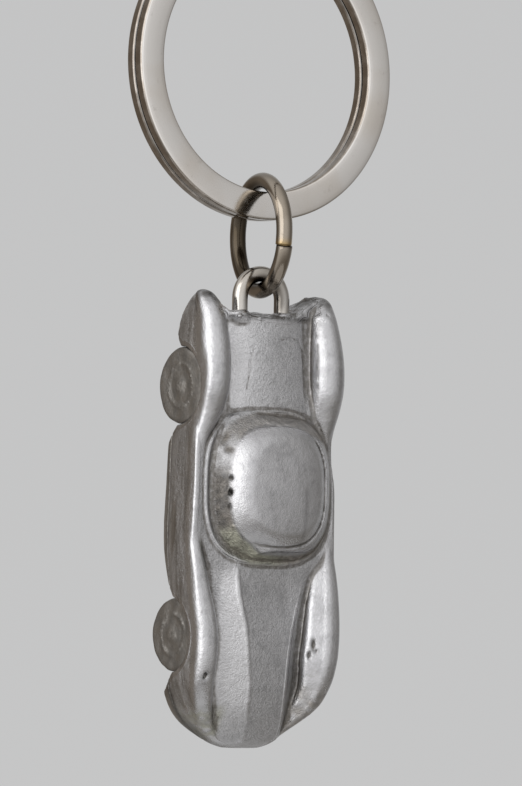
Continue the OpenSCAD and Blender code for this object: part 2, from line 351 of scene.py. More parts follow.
def car_form():
    """Signed distances on the grid, in mm, of the body and of its fenders and cabin alone. With them go the
    heights of the roof and the deck over the plan, and the outline that the roof follows."""
    xf, hf, rf, flat, flank, w_top, w_bot, h_bot = [c[None, None, :] for c in smooth_rows(SIDES, AS)]
    top = deck_height()
    right, left = smooth_rows(BULGE, AS)
    bulge = np.where(X < 0, right[None, None, :], left[None, None, :])
    xf, w_top = xf + bulge, w_top + bulge
    # The inner flank of the left front fender is longer and flatter than the right one's.
    flank_x, flank_h = flank * np.where(X > 0, 1.55, 0.75), flank * np.where(X > 0, 1.1, 1.0)
    # The block under the deck and bonnet. A hollow is cut into its right rear side, as into the fender's.
    down = np.clip((hf - H) / (hf - h_bot), 0, 1)
    wall = w_top - (w_top - w_bot) * down ** 2
    block = smax((H - top[:, None, :]) / steepness(top), np.abs(X) - wall, 0.3)
    block = smax(block, h_bot - H, 0.9)
    hollow = smooth_rows(HOLLOW, AS)[0][None, None, :]
    block = smax(block, -X - hollow, 0.3)
    inner = xf - flat / 2
    fender = np.minimum(capsule(xf + flat / 2, hf, inner, hf + 0.04),
                        capsule(inner, hf, inner - flank_x, hf - flank_h)) - rf
    fender = smax(fender, -X - hollow, 0.3)
    # Below the fender the side goes straight down to the sill.
    skirt = smax(smax(np.abs(X) - wall, inner - np.abs(X), 0.1), np.maximum(H - hf, h_bot + 2.6 - H), 0.1)
    skirt = smax(skirt, -X - hollow, 0.2)
    body = smin(block, smin(fender, skirt, 0.1), 0.09)

    # The cabin's sides slope from the roof's outline to its foot. On the car's left the roof's frame stands
    # out as a narrow ledge.
    down = np.clip((ROOF_EDGE - H) / 1.95, -0.3, 1.2)
    a = ROOF_W + (CABIN_W - ROOF_W) * down + 0.5 * sstep(1.5, 4.5, X) * sstep(1.1, 0.2, down)
    b = ROOF_L + (CABIN_L - ROOF_L) * down
    s0 = ROOF_S + (CABIN_S - ROOF_S) * down
    side = (superellipse((X - ROOF_X * (1 - down)) / a, (S - s0) / b, 3.0) - 1) * 6.2 * 0.78
    # The roof is a low dome. Its edge rolls down, over a wider band on the car's right, and it has a groove
    # inside its frame.
    x, s = AX[:, None], AS[None, :]
    r = superellipse((x - ROOF_X) / ROOF_W, (s - ROOF_S) / ROOF_L, 2.8)
    near = sstep(0.5, -3.0, x)
    roof = ROOF_TOP - (0.50 + 0.35 * sstep(-0.4, 1.0, x / ROOF_W)) * np.clip(r, 0, 1.3) ** 2
    roof -= (0.60 + 0.35 * near) * 5.6 * smax(r - 0.79 + 0.02 * near, 0 * r, 0.06 + 0.06 * near)
    lip = frame_lip()
    roof -= 0.16 * lip * bump(r - 0.975, 0.018) - 0.25 * lip * sstep(0.97, 1.02, r)
    cabin = smax(smax((H - roof[:, None, :]) / steepness(roof), side, 0.12), -1.0 - H, 0.1)
    body = smin(body, cabin, 0.12)

    ends = smax(-S, S - CAR_L, 0.1)
    body = smax(body, ends, 0.9)
    # The tail's panel, which slopes a little, lies deep between the fenders.
    pocket_w = np.interp(AS, TAIL_GAP[:, 0], TAIL_GAP[:, 1])[None, None, :]
    panel = PANEL_S - 0.28 * np.clip(1.5 - H, 0, 2.4)
    pocket = smax((np.abs(X) - pocket_w) * 0.75, S - panel, 0.25)
    body = smax(body, -pocket, 0.08)
    for x0 in (-EYE_R, EYE_R):
        collar = np.sqrt((X - x0) ** 2 + H ** 2 + ((S - PANEL_S) * 1.3) ** 2) - 1.15
        body = smin(body, collar, 0.25)
    for x0, h0, s0, a in LUMPS:
        body = smin(body, pit(x0, h0, s0, a, a * 0.7, a * 0.8), 0.12)
    # Each wheel has a round arch, and the body is cut back below and beside it.
    for s0, h0, r0 in (REAR, FRONT):
        arch = smax(np.hypot(H - h0, S - s0) - (r0 + 0.05), WHEEL_FACE - WHEEL_T - 0.05 - np.abs(X), 0.05)
        body = smax(body, -arch, 0.1)
        flare = H + 2.4 + 1.1 * np.maximum(np.abs(S - s0) - r0 - 0.1, 0)
        flare = smax(flare * 0.67, WHEEL_FACE - WHEEL_T - np.abs(X), 0.1)
        flare = smax(flare, np.abs(S - s0) - r0 - 2.0, 0.6)
        body = smax(body, -flare, 0.15)
    for p in PITS:
        body = smax(body, -pit(*p), 0.05)
    return body, fender, cabin, roof, top, r


def smooth_grid(f, passes):
    """The grid with each cell averaged with its neighbours, the given number of times."""
    for _ in range(passes):
        for axis in range(3):
            g = f.copy()
            lo = [slice(None)] * 3
            mid = [slice(None)] * 3
            hi = [slice(None)] * 3
            lo[axis], mid[axis], hi[axis] = slice(0, -2), slice(1, -1), slice(2, None)
            g[tuple(mid)] = 0.25 * f[tuple(lo)] + 0.5 * f[tuple(mid)] + 0.25 * f[tuple(hi)]
            f = g
    return f


def mesh_from(f, name):
    """The surface where f is 0: its points in cells and in mm, and the object."""
    points, faces = surface_net(f)
    grads = np.gradient(f)
    for _ in range(3):
        value = sample(f, points)
        g = np.stack([sample(c, points) for c in grads], 1)
        step = value[:, None] * g / np.maximum((g ** 2).sum(1), 0.01)[:, None]
        points = points - np.clip(step, -0.5, 0.5)
    mm = points * CELL + np.array([AX[0], AH[0], AS[0]])
    return points, mm, make_object(name, hang(mm), faces[:, ::-1])


def car_marks(shape, fender, cabin, roof, top, r):
    """How polished the metal is over the grid, from 0 to 1, how much of a window it is, how much painted
    highlight and how much flaw and painted shade it has."""
    # The windows lie between the roof's edge and the cabin's foot. They are clearer at the back, most of all
    # on the car's right.
    on_roof = (bump(H - roof[:, None, :], 0.45) * sstep(1.02, 0.97, r)[:, None, :]) * np.ones(shape)
    edge = (r - (0.10 + 0.05 * sstep(1.5, 4.5, AX[:, None])) * frame_lip())[:, None, :]
    window = bump(np.clip(np.abs(cabin) - 0.1, 0, None), 0.25) * sstep(0.98, 1.03, edge)
    low = 1.75 + 0.05 * sstep(-5.2, -5.9, X) * sstep(13.2, 14.5, S) * sstep(26.0, 24.0, S)
    window = window * sstep(low, low + 0.3, H)
    clean = sstep(-2.6, -4.6, X) * sstep(12.9, 15.3, S) * sstep(18.8, 16.4, S)
    window = window * (1 - 0.9 * clean * sstep(-1.6, 0.4, lump_noise(shape, 4.0, 15)))
    window = window * (1 - 0.45 * sstep(14.6, 13.2, S))
    # The two front tips are tarnished, the right one over a shorter length.
    tarnish = sstep(-1.4, 0.6, lump_noise(shape, 4.0, 16) + 1.1 * sstep(38.0, 42.0, S) - 0.9)
    tarnish = tarnish * np.where(X < 0, sstep(39.8, 41.6, S), sstep(36.5, 40.0, S))
    tarnish = tarnish * sstep(3.3, 4.3, np.abs(X))
    window = np.maximum(window, 0.75 * tarnish * (H > -3))

    # The bonnet's right plane and the right edge of the deck are painted lighter: painted highlight.
    ridge = smooth_rows(DECK, AS)[4][None, None, :]
    painted_sheen = 0.8 * sstep(0.15, -0.1, X - ridge) * sstep(26.0, 29.0, S) * sstep(43.4, 37.0, S)
    deck_painted_sheen = sstep(-0.6, -4.0, X) * sstep(2.7, 3.3, S) * sstep(13.0, 10.0, S)
    painted_sheen = np.maximum(painted_sheen * sstep(-5.4, -4.9, X), deck_painted_sheen) * bump(H - top[:, None, :], 0.5)

    # The fenders and the roof are polished.
    tips = sstep(0.8, 3.4, S) * sstep(43.2, 40.5, S)
    polished = np.maximum(0.8 * tips * bump(np.clip(fender, 0, None), 0.32) * (1 - window), 0.72 * on_roof)

    flaws_and_shade = np.zeros(shape)
    # Pits are painted dark: grime and painted shade in them.
    for p in PITS:
        flaws_and_shade = np.maximum(flaws_and_shade, sstep(0.12, -0.05, pit(*p)))
    # A broken dark line follows the inner side of the left rear fender.
    xf, hf, rf = [c[None, None, :] for c in smooth_rows(SIDES, AS)[:3]]
    line = np.hypot(X - xf + 0.93 * rf, H - hf - 0.37 * rf)
    dots = sstep(-0.4, 0.3, lump_noise((1, 1, len(AS)), 2.6, 9)) * sstep(3.2, 4.2, S) * sstep(11.0, 9.5, S)
    flaws_and_shade = np.maximum(flaws_and_shade, np.minimum(1.5 * bump(line, 0.18), 1) * dots * (X > 0))
    # Dark lines along the deck's broken edge and in the seam above the floor, which is wider round the nose.
    ragged = bump(np.hypot(S - 2.45, H - top[:, None, :]), 0.22) * sstep(5.6, 5.2, np.abs(X))
    flaws_and_shade = np.maximum(flaws_and_shade, ragged * (lump_noise((len(AX), 1, 1), 4.0, 10) > -0.9))
    seam = bump(H - SEAM_H, 0.25 + 0.22 * sstep(36.0, 40.0, S))
    flaws_and_shade = np.maximum(flaws_and_shade, (0.7 + 0.3 * sstep(35.0, 39.0, S)) * seam)
    # Painted shade: the low front of the nose is painted darker, as on an underside.
    flaws_and_shade = np.maximum(flaws_and_shade, 0.75 * sstep(40.5, 43.0, S) * sstep(-1.4, -2.6, H))
    # The two tips at the tail are stained, and a faint line runs along the roof.
    flaws_and_shade = np.maximum(flaws_and_shade, 0.85 * sstep(2.0, 0.5, S) * sstep(-1.5, 0.5, lump_noise(shape, 3.0, 12)))
    scratch = bump(X - 2.5, 0.12) * sstep(18.8, 19.6, S) * sstep(24.4, 23.8, S)
    flaws_and_shade = np.maximum(flaws_and_shade, 0.5 * scratch * (H > 4))
    return polished, window, painted_sheen, flaws_and_shade


def build_car():
    """The upper casting and the floor, each with what its material needs to know at every point."""
    body, fender, cabin, roof, top, r = car_form()
    shape = body.shape
    rough = lump_noise(shape, 5.0, 3) * 0.004 + lump_noise(shape, 2.2, 4) * 0.003
    polished, window, painted_sheen, flaws_and_shade = car_marks(shape, fender, cabin, roof, top, r)
    tail = sstep(2.9, 2.5, S) * sstep(6.9, 6.3, np.abs(X)) * np.ones(shape)
    body = body + rough * (1 - 0.8 * polished) + window * lump_noise(shape, 3.0, 5) * 0.02
    body = body + tail * (lump_noise(shape, 4.0, 6) * 0.05 + lump_noise(shape, 2.4, 7) * 0.03)
    # The body less a smoothed body is above 0 in a hollow and below 0 on a crest.
    soft = smooth_grid(body, 6)
    softer = smooth_grid(soft, 24)
    pieces = []
    upper = smax(body, SEAM_H - H, 0.03)
    lower = smax(body + 0.02, H - SEAM_H + 0.07, 0.03)
    for name, f, node, slot in (("car_body", upper, "body_casting", "cast_metal"),
                                ("car_floor", lower, "floor_pan", "cast_metal_dark")):
        cells, mm, obj = mesh_from(f, name)
        hollow = sample(body, cells) - sample(soft, cells)
        broad = sample(body, cells) - sample(softer, cells)
        write_attribute(obj, "hollow", np.clip(hollow / 0.05, -1, 1))
        write_attribute(obj, "broad", np.clip(broad / 0.25, -1, 1))
        for key, grid in (("polish", polished), ("window", window), ("painted_sheen", painted_sheen), ("flaws_and_shade", flaws_and_shade)):
            write_attribute(obj, key, sample(grid, cells))
        for key, column in (("height", 1), ("along", 2), ("side", 0)):
            write_attribute(obj, key, mm[:, column])
        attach(obj, "car")
        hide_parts(node)
        pieces.append(obj)
    return pieces


# ---------------------------------------------------------------- wires
END_EASE = (0.93, 0.985)


def sweep(name, centres, normals, binormals, profile):
    """A rod of the profile, given along the normals and the binormals, with its two ends eased."""
    n, m = len(centres), len(profile)
    pts = []
    for k in range(n):
        e = min(k, n - 1 - k)
        scale = END_EASE[e] if e < len(END_EASE) else 1.0
        for a, b in profile:
            pts.append(centres[k] + normals[k] * a * scale + binormals[k] * b * scale)
    faces = []
    for k in range(n - 1):
        for i in range(m):
            j = (i + 1) % m
            faces.append((k * m + i, k * m + j, (k + 1) * m + j, (k + 1) * m + i))
    for start, order in ((0, 1), ((n - 1) * m, -1)):
        middle = len(pts)
        pts.append(np.mean(pts[start:start + m], axis=0))
        for i in range(m):
            j = (i + 1) % m
            a, b = (start + j, start + i) if order > 0 else (start + i, start + j)
            faces.append((middle, a, b))
    return make_object(name, np.array(pts) * MM, faces)


def round_profile(radius, n=28):
    turns = [2 * math.pi * i / n for i in range(n)]
    return [(radius * math.cos(a), radius * math.sin(a)) for a in turns]


def flat_profile(width, thick, corner, crown, n=5):
    """A flat band's section with rounded corners and gently crowned faces."""
    out = []
    for cx, cy, start in ((1, 1, 0), (-1, 1, 90), (-1, -1, 180), (1, -1, 270)):
        for k in range(n + 1):
            a = math.radians(start + 90 * k / n)
            out.append((cx * (width / 2 - corner) + corner * math.cos(a),
                        cy * (thick / 2 - corner) + corner * math.sin(a)))
    # Extra points along the flats follow the crown and keep the shading even.
    dense = []
    for (a, b), (c, d) in zip(out, out[1:] + out[:1]):
        steps = 6 if math.hypot(c - a, d - b) > 2 * corner else 1
        dense += [(a + (c - a) * k / steps, b + (d - b) * k / steps) for k in range(steps)]
    return [(a, b * (1 - 2 * crown / thick * (2 * a / width) ** 2)) for a, b in dense]


def build_split_ring():
    """Two turns of the band: it passes from one side to the other between its two ends, at the top."""
    centre_r = RING_R - BAND_W / 2
    layer = (TURN_T + TURN_GAP) / 2
    # A short step at each end lets the sweep ease the cut there.
    angles = np.concatenate([[STEP, STEP + 0.25], np.arange(STEP + 1.2, 719.5 - STEP, 1.2),
                             [720 - STEP - 0.25, 720 - STEP]])
    t = np.clip((angles - (360 - STEP)) / (2 * STEP), 0, 1)
    y = layer * (1 - 2 * t * t * (3 - 2 * t))
    a = np.radians(angles)
    out = np.stack([np.sin(a), 0 * a, np.cos(a)], 1)
    c = out * centre_r + np.stack([0 * a, y, 0 * a - (RING_R - BAND_W)], 1)
    across = np.tile([0.0, 1.0, 0.0], (len(a), 1))
    obj = sweep("ring_coil", c, out, across, flat_profile(BAND_W, TURN_T, 0.26, 0.06))
    around(obj, (0, 0, -(RING_R - BAND_W)), "y")
    finish_wire(obj, "ring", "split_ring")
    return obj


def around(obj, centre, axis):
    """Coordinates that run with the wire: the angle about the centre, and the distance across it."""
    co = np.zeros(len(obj.data.vertices) * 3)
    obj.data.vertices.foreach_get("co", co)
    co = co.reshape(-1, 3) / MM - np.array(centre)
    u = co[:, 0] if axis == "y" else co[:, 1]
    write_attribute(obj, "turn", np.arctan2(u, co[:, 2]))
    write_attribute(obj, "radius", np.hypot(u, co[:, 2]))
    write_attribute(obj, "across", co[:, 1] if axis == "y" else co[:, 0])


def finish_wire(obj, body, node):
    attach(obj, body)
    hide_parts(node)


def build_jump_ring():
    """A loop of wire, turned a little, with its cut at the given angle, in degrees."""
    cut, gap = -14.0, 0.4
    a = np.radians(np.linspace(180 - cut + gap / 2, 540 - cut - gap / 2, 150))
    a = np.concatenate([[a[0], a[0] + 0.006], a[1:-1], [a[-1] - 0.006, a[-1]]])
    yaw = math.radians(JUMP_YAW)
    ahead = np.array([math.sin(yaw), math.cos(yaw), 0])
    side = np.array([math.cos(yaw), -math.sin(yaw), 0])
    out = np.cos(a)[:, None] * ahead + np.sin(a)[:, None] * np.array([0, 0, 1.0])
    # The two cut ends don't quite meet: one stands a little to the side of the other.
    t = (a - a[0]) / (a[-1] - a[0])
    offset = 0.05 * (np.exp(-(t / 0.05) ** 2) - np.exp(-((1 - t) / 0.05) ** 2))
    c = out * JUMP_R + np.array([0, 0, JUMP_Z]) + offset[:, None] * side
    ring = round_profile(JUMP_WIRE / 2)
    obj = sweep("jump_wire", c, out, np.tile(side, (len(a), 1)), ring)
    around(obj, (0, 0, JUMP_Z), "x")
    along = np.repeat((a - a[0]) * JUMP_R, len(ring))
    length = (a[-1] - a[0]) * JUMP_R
    along = np.concatenate([along, [0, length]])
    write_attribute(obj, "cut", np.maximum(np.exp(-along / 0.09), np.exp(-(length - along) / 0.09)))
    write_attribute(obj, "brass", np.exp(-((length - along) / 0.45) ** 2))
    finish_wire(obj, "link", "jump_ring")
    return obj


def build_eye():
    """A U of wire whose two legs go into the tail."""
    bend = EYE_TOP - EYE_WIRE / 2 - EYE_R
    leg_end = TAIL_Z - 2.25 - LEG_IN
    drops = np.linspace(leg_end, bend, 16)[:-1]
    pts, outs = [], []
    for z in drops:
        pts.append((EYE_R, 0, z))
        outs.append((1, 0, 0))
    for a in np.radians(np.linspace(0, 180, 49)):
        pts.append((EYE_R * math.cos(a), 0, bend + EYE_R * math.sin(a)))
        outs.append((math.cos(a), 0, math.sin(a)))
    for z in drops[::-1]:
        pts.append((-EYE_R, 0, z))
        outs.append((-1, 0, 0))
    pts, outs = np.array(pts, float), np.array(outs, float)
    across = np.tile([0, 1.0, 0], (len(pts), 1))
    obj = sweep("eye_wire", pts, outs, across, round_profile(EYE_WIRE / 2, 24))
    for v in obj.data.vertices:
        v.co.x, v.co.z = leaned(v.co.x, v.co.z, SWING_Z * MM)
    around(obj, (0, 0, bend), "y")
    finish_wire(obj, "car", "eye_staple")
    return obj


# ---------------------------------------------------------------- wheels
def raised_ring(f):
    """How much of the wheel's raised ring there is at f times the wheel's radius."""
    return bump(f - 0.56, 0.06)


def build_wheel(name, where, side, seed):
    s0, h0, r = where
    rng = np.random.default_rng(seed)
    n = 96
    face = WHEEL_T
    # From the hub's back outwards, round the rim and over the face to the hub: radius and depth.
    rows = [(0.02, -1.55), (0.72, -1.55), (0.74, -0.02), (0.9 * r, 0.0), (r - 0.12, 0.02), (r - 0.03, 0.12),
            (r, 0.3), (r, face - 0.34), (r - 0.04, face - 0.18), (r - 0.14, face - 0.07),
            (r - 0.3, face - 0.02)]
    rows += [(f * r, face) for f in (0.86, 0.8, 0.75)]
    rows += [(f * r, face + 0.09 * raised_ring(f) - 0.04 * sstep(0.52, 0.42, f)
              + 0.15 * sstep(0.30, 0.08, f)) for f in np.linspace(0.72, 0.02, 26)]
    angles = np.linspace(0, 2 * math.pi, n, endpoint=False)
    # A tumbled casting is not quite round: a few flats, and low waves on the face.
    flats = 1 - 0.012 * np.abs(np.cos(angles * 4 + rng.uniform(0, 6))) ** 6 \
        - 0.006 * np.cos(angles * 3 + rng.uniform(0, 6))
    waves = rng.standard_normal((6, 3))
    pts = []
    for q, z in rows:
        for k, a in enumerate(angles):
            rr = q * (flats[k] if q > 0.9 * r else 1)
            u, v = rr * math.cos(a), rr * math.sin(a)
            dz = 0
            if z > 1.0:
                for w in waves:
                    dz += 0.018 * math.sin(1.1 * w[0] * u + 1.3 * w[1] * v + 3 * w[2])
                # The raised ring is worn away on two sides.
                dz -= 0.03 * (1 + math.sin(2 * a + 3 * waves[0, 2])) * raised_ring(q / r)
                dz += 0.035 * rng.standard_normal() * raised_ring(q / r)
            pts.append((u, v, z + dz))
    faces = []
    m = len(rows)
    for k in range(m - 1):
        for i in range(n):
            j = (i + 1) % n
            faces.append((k * n + i, k * n + j, (k + 1) * n + j, (k + 1) * n + i))
    for start, order in ((0, -1), ((m - 1) * n, 1)):
        faces.append(tuple(start + i for i in (range(n) if order > 0 else range(n - 1, -1, -1))))
    pts = np.array(pts)
    car = np.stack([side * (WHEEL_FACE - WHEEL_T + pts[:, 2]), h0 + pts[:, 1], s0 + pts[:, 0]], 1)
    faces = [f[::-1] for f in faces] if side > 0 else faces
    obj = make_object(name, hang(car), faces)
    write_attribute(obj, "out", np.hypot(pts[:, 0], pts[:, 1]) / r)
    write_attribute(obj, "proud", pts[:, 2] - face)
    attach(obj, "car")
    return obj


# ---------------------------------------------------------------- materials
class Nodes:
    """Short ways to build a material's nodes. A value is a number, a colour or another node's output."""
    def __init__(self, name):
        self.mat = bpy.data.materials.new(name)
        self.mat.use_nodes = True
        self.tree = self.mat.node_tree
        self.tree.nodes.clear()

    def add(self, kind, **values):
        node = self.tree.nodes.new(kind)
        for key, value in values.items():
            if key.startswith("i_"):
                node.inputs[key[2:].replace("_", " ")].default_value = value
            else:
                setattr(node, key, value)
        return node

    def link(self, a, b):
        self.tree.links.new(a, b)

    def attribute(self, name):
        return self.add("ShaderNodeAttribute", attribute_name=name).outputs["Fac"]

    def noise(self, scale, detail=4.0, rough=0.55, vector=None, seed=0.0):
        node = self.add("ShaderNodeTexNoise", noise_dimensions="4D", i_Scale=scale, i_Detail=detail,
                        i_Roughness=rough, i_W=seed)
        self.link(vector or self.position(), node.inputs["Vector"])
        return node.outputs["Fac"]

    def position(self):
        if not hasattr(self, "_pos"):
            self._pos = self.add("ShaderNodeTexCoord").outputs["Object"]
        return self._pos

    def math(self, op, a, b=None, c=None, clamp=False):
        node = self.add("ShaderNodeMath", operation=op, use_clamp=clamp)
        for i, v in enumerate((a, b, c)):
            if v is None:
                continue
            if isinstance(v, (int, float)):
                node.inputs[i].default_value = v
            else:
                self.link(v, node.inputs[i])
        return node.outputs[0]

    def span(self, value, a, b, lo=0.0, hi=1.0):
        node = self.add("ShaderNodeMapRange", interpolation_type="SMOOTHSTEP")
        for key, v in (("From Min", a), ("From Max", b), ("To Min", lo), ("To Max", hi)):
            node.inputs[key].default_value = v
        self.link(value, node.inputs["Value"])
        return node.outputs["Result"]

    def mix(self, fac, a, b):
        node = self.add("ShaderNodeMix", data_type="RGBA")
        for i, v in ((0, fac), (6, a), (7, b)):
            if isinstance(v, (tuple, float, int)):
                node.inputs[i].default_value = (*v, 1) if isinstance(v, tuple) else v
            else:
                self.link(v, node.inputs[i])
        return node.outputs[2]

    def combine(self, x, y, z):
        node = self.add("ShaderNodeCombineXYZ")
        for i, v in enumerate((x, y, z)):
            if isinstance(v, (int, float)):
                node.inputs[i].default_value = v
            else:
                self.link(v, node.inputs[i])
        return node.outputs[0]

    def bump(self, height, distance, normal=None):
        node = self.add("ShaderNodeBump", i_Strength=1.0, i_Distance=distance)
        self.link(height, node.inputs["Height"])
        if normal is not None:
            self.link(normal, node.inputs["Normal"])
        return node.outputs["Normal"]

    def metal(self, color, rough, normal):
        shader = self.add("ShaderNodeBsdfPrincipled", i_Metallic=1.0)
        self.link(color, shader.inputs["Base Color"])
        self.link(rough, shader.inputs["Roughness"])
        self.link(normal, shader.inputs["Normal"])
        out = self.add("ShaderNodeOutputMaterial")
        self.link(shader.outputs[0], out.inputs["Surface"])
        return self.mat


def cast_metal(name, bright, grime_and_shade, rough_lo, rough_hi, grain):
    """Tumbled cast metal: polished on crests, grainy and duller elsewhere, grime and painted shade in
    hollows.
    """
    n = Nodes(name)
    # Polish, hollow and broad: how polished it is, and how deep it lies in a small and in a wide hollow.
    polish = n.attribute("polish")
    hollow = n.attribute("hollow")
    broad = n.attribute("broad")
    window = n.attribute("window")
    along = n.attribute("along")
    height = n.attribute("height")
    side = n.attribute("side")
    off_middle = n.math("ABSOLUTE", side)
    fine = n.noise(7500, 3.0, 0.6, seed=1.0)
    mid = n.noise(2200, 4.0, 0.6, seed=2.0)
    large = n.noise(300, 3.0, 0.55, seed=3.0)
    patch = n.noise(650, 5.0, 0.68, seed=4.0)
    worn = n.math("MAXIMUM", polish, n.span(hollow, -0.2, -0.7, 0.0, 0.75))
    dull = n.math("SUBTRACT", 1.0, worn)
    # Grime and painted shade: darker in small hollows and creases, and a little in wide hollows.
    dirt_and_shade = n.math("MAXIMUM", n.span(hollow, 0.10, 0.62), n.span(broad, 0.35, 0.95, 0.0, 0.2))
    dirt_and_shade = n.math("MULTIPLY", dirt_and_shade, n.span(mid, 0.3, 0.62, 0.6, 1.0))
    base = n.mix(n.span(large, 0.35, 0.68), bright, tuple(0.94 * c for c in bright))
    speck = n.math("MULTIPLY", n.span(fine, 0.42, 0.66), dull)
    base = n.mix(n.math("MULTIPLY", speck, 0.72), base, tuple(0.55 * c for c in bright))
    base = n.mix(n.math("MULTIPLY", worn, 0.5), base, tuple(0.93 * c for c in bright))
    base = n.mix(n.span(patch, 0.45, 0.70, 0.0, 0.55), base, tuple(0.60 * c for c in bright))
    # Painted highlight: a lighter base colour on the bonnet's right plane and the deck's right edge.
    base = n.mix(n.math("MULTIPLY", n.attribute("painted_sheen"), 0.5), base, tuple(1.5 * c for c in bright))
    # The windows are dark, olive at the car's front right corner and darkest along its sides.
    glass = n.mix(n.span(mid, 0.35, 0.62), tuple(1.3 * c for c in grime_and_shade), tuple(2.6 * c for c in grime_and_shade))
    olive = n.mix(n.span(patch, 0.35, 0.62), (0.22, 0.215, 0.165), (0.48, 0.475, 0.37))
    corner = n.math("MULTIPLY", n.span(along, 22.5, 24.0), n.span(side, 3.0, 0.0))
    glass = n.mix(corner, glass, olive)
    flank = n.math("MULTIPLY", n.span(along, 13.5, 15.5), n.span(along, 24.0, 22.5))
    flank = n.math("MULTIPLY", n.span(off_middle, 4.8, 5.8), flank)
    dark = n.mix(n.span(patch, 0.38, 0.6), tuple(0.45 * c for c in grime_and_shade), tuple(1.35 * c for c in grime_and_shade))
    glass = n.mix(flank, glass, dark)
    base = n.mix(n.math("MULTIPLY", window, 0.85), base, glass)
    # Lengthwise streaks on the car's sides.
    streak = n.noise(1.6, 5.0, 0.62, vector=n.combine(side, height, n.math("MULTIPLY", along, 0.12)))
    wall = n.math("MULTIPLY", n.span(off_middle, 7.0, 7.7), n.span(height, 1.2, 0.2))
    streak = n.math("MULTIPLY", wall, n.span(streak, 0.34, 0.66, 0.08, 0.64))
    base = n.mix(streak, base, tuple(1.2 * c for c in grime_and_shade))
    # Grime and painted shade darken the hollows.
    color = n.mix(n.math("MULTIPLY", dirt_and_shade, 0.78), base, grime_and_shade)
    # Casting flaws darken the colour, with painted shade under the nose and in the pits.
    color = n.mix(n.math("MULTIPLY", n.attribute("flaws_and_shade"), 0.8), color, tuple(0.35 * c for c in grime_and_shade))
    grainy = n.math("MULTIPLY_ADD", dull, 0.8, 0.2)
    rough = n.math("MULTIPLY_ADD", dull, rough_hi - rough_lo, rough_lo)
    rough = n.math("MULTIPLY_ADD", n.span(mid, 0.3, 0.7, -0.05, 0.06), grainy, rough)
    rough = n.math("ADD", rough, n.math("MULTIPLY", n.math("MAXIMUM", dirt_and_shade, window), 0.12), clamp=True)
    relief = n.math("MULTIPLY_ADD", fine, 0.5, n.math("MULTIPLY", mid, 0.6))
    relief = n.math("MULTIPLY", relief, n.math("ADD", grainy, window))
    normal = n.bump(relief, grain, n.bump(patch, 0.00004))
    return n.metal(color, rough, normal)


def wheel_metal(name, bright, grime_and_shade):
    """Duller cast metal: its raised ring is painted lighter in spots, a painted highlight, and its rim is
    darker.
    """
    n = Nodes(name)
    out = n.attribute("out")
    proud = n.attribute("proud")
    fine = n.noise(4200, 4.0, 0.65, seed=5.0)
    mid = n.noise(1100, 4.0, 0.6, seed=6.0)
    ring = n.span(proud, 0.03, 0.16)
    base = n.mix(n.span(mid, 0.35, 0.7), bright, tuple(0.62 * c for c in bright))
    # Painted highlight: lighter spots on the raised ring.
    base = n.mix(n.math("MULTIPLY", ring, n.span(fine, 0.4, 0.65)), base, tuple(1.3 * c for c in bright))
    # Darker toward the rim.
    color = n.mix(n.span(out, 0.86, 1.02, 0.0, 0.5), base, grime_and_shade)
    rough = n.span(mid, 0.3, 0.7, 0.38, 0.56)
    height = n.math("MULTIPLY_ADD", fine, 0.5, mid)
    return n.metal(color, rough, n.bump(height, 0.00008))


def nickel(name, bright, warm, rough_lo, rough_hi, scratch, along_scale,
           edges=None, cut=False, wire_r=None):
    """Nickel plate with fine lengthwise scratches, small marks and warm stains. Painted shade darkens a
    band's edges and the faces by its turns' gap, a loop's inner side and a cut end; brass shows beside a cut
    end."""
    n = Nodes(name)
    turn = n.attribute("turn")
    radius = n.attribute("radius")
    across = n.attribute("across")
    vector = n.combine(n.math("MULTIPLY", turn, along_scale), radius, across)
    lines = n.noise(9.0, 5.0, 0.65, vector=vector, seed=7.0)
    marks = n.noise(900, 5.0, 0.62, seed=8.0)
    large = n.noise(140, 3.0, 0.5, seed=9.0)
    color = n.mix(n.span(large, 0.40, 0.68, 0.0, 0.8), bright, warm)
    color = n.mix(n.span(marks, 0.58, 0.74, 0.0, 0.35), color, tuple(0.6 * c for c in warm))
    if edges:
        inner, outer, gap = edges
        # Painted shade: the band's rounded edges and the faces beside the gap between its turns are painted
        # darker.
        rim = n.math("MAXIMUM", n.span(radius, outer - 0.18, outer - 0.05),
                     n.span(radius, inner + 0.18, inner + 0.05))
        joint = n.span(n.math("ABSOLUTE", across), gap + 0.22, gap)
        shade_mottle = n.span(marks, 0.3, 0.6, 0.75, 1.0)
        color = n.mix(n.math("MULTIPLY", n.math("MULTIPLY", rim, 0.85), shade_mottle), color,
                      tuple(0.26 * c * w for c, w in zip(warm, (1.1, 0.95, 0.8))))
        color = n.mix(n.math("MULTIPLY", joint, shade_mottle), color, tuple(0.1 * c for c in warm))
    if wire_r:
        # Painted shade: the inner side of the loop is painted dark brown.
        inside = n.math("MULTIPLY", n.span(radius, wire_r + 0.1, wire_r - 0.5),
                        n.span(large, 0.25, 0.5, 0.6, 1.0))
        color = n.mix(n.math("MULTIPLY", inside, 0.85), color, tuple(0.3 * c for c in warm))
    if cut:
        color = n.mix(n.math("MULTIPLY", n.attribute("brass"), 0.8), color, (0.50, 0.34, 0.13))
        # Painted shade: the cut ends are painted near black, as the slit between them.
        color = n.mix(n.attribute("cut"), color, (0.03, 0.02, 0.012))
    rough = n.math("MULTIPLY_ADD", n.span(lines, 0.35, 0.65), rough_hi - rough_lo, rough_lo)
    rough = n.math("ADD", rough, n.span(marks, 0.55, 0.75, 0.0, 0.12))
    height = n.math("MULTIPLY_ADD", marks, 0.25, lines)
    return n.metal(color, rough, n.bump(height, scratch))


def dress(obj, mat):
    obj.data.materials.clear()
    obj.data.materials.append(mat)


